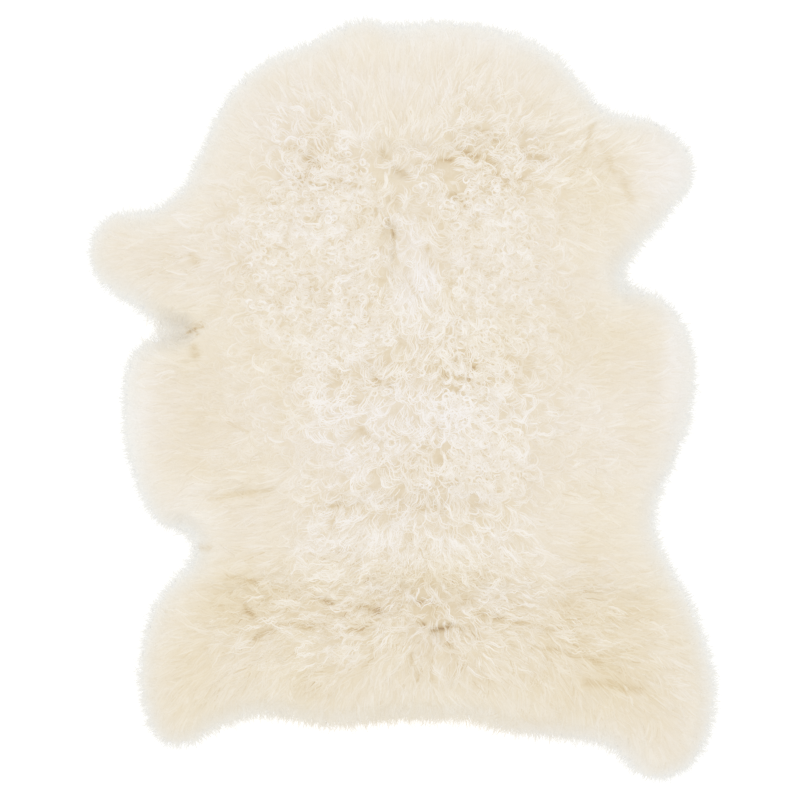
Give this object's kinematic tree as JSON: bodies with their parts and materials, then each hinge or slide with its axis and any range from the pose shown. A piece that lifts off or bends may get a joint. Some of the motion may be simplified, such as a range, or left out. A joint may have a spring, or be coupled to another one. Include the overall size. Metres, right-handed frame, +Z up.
{
  "type": "sheepskin rug",
  "caption": "Natural sheepskin rug lying flat: an irregular pelt outline with neck, forelegs, flanks and hind legs, under a deep curly cream fleece.",
  "frame": {"origin": "the middle of the rug's bounding box, on the floor under it", "axes": "+Y towards the neck end, +Z up out of the wool, +X to the right as seen from above"},
  "size_m": [0.7384, 0.8962, 0.0495],
  "materials": {
    "wool": "undyed cream curly lambswool, matt with a soft silky sheen",
    "hide": "pale tanned suede underside"
  },
  "bodies": {
    "root": {"sheepskin": "wool"}
  },
  "joints": []
}
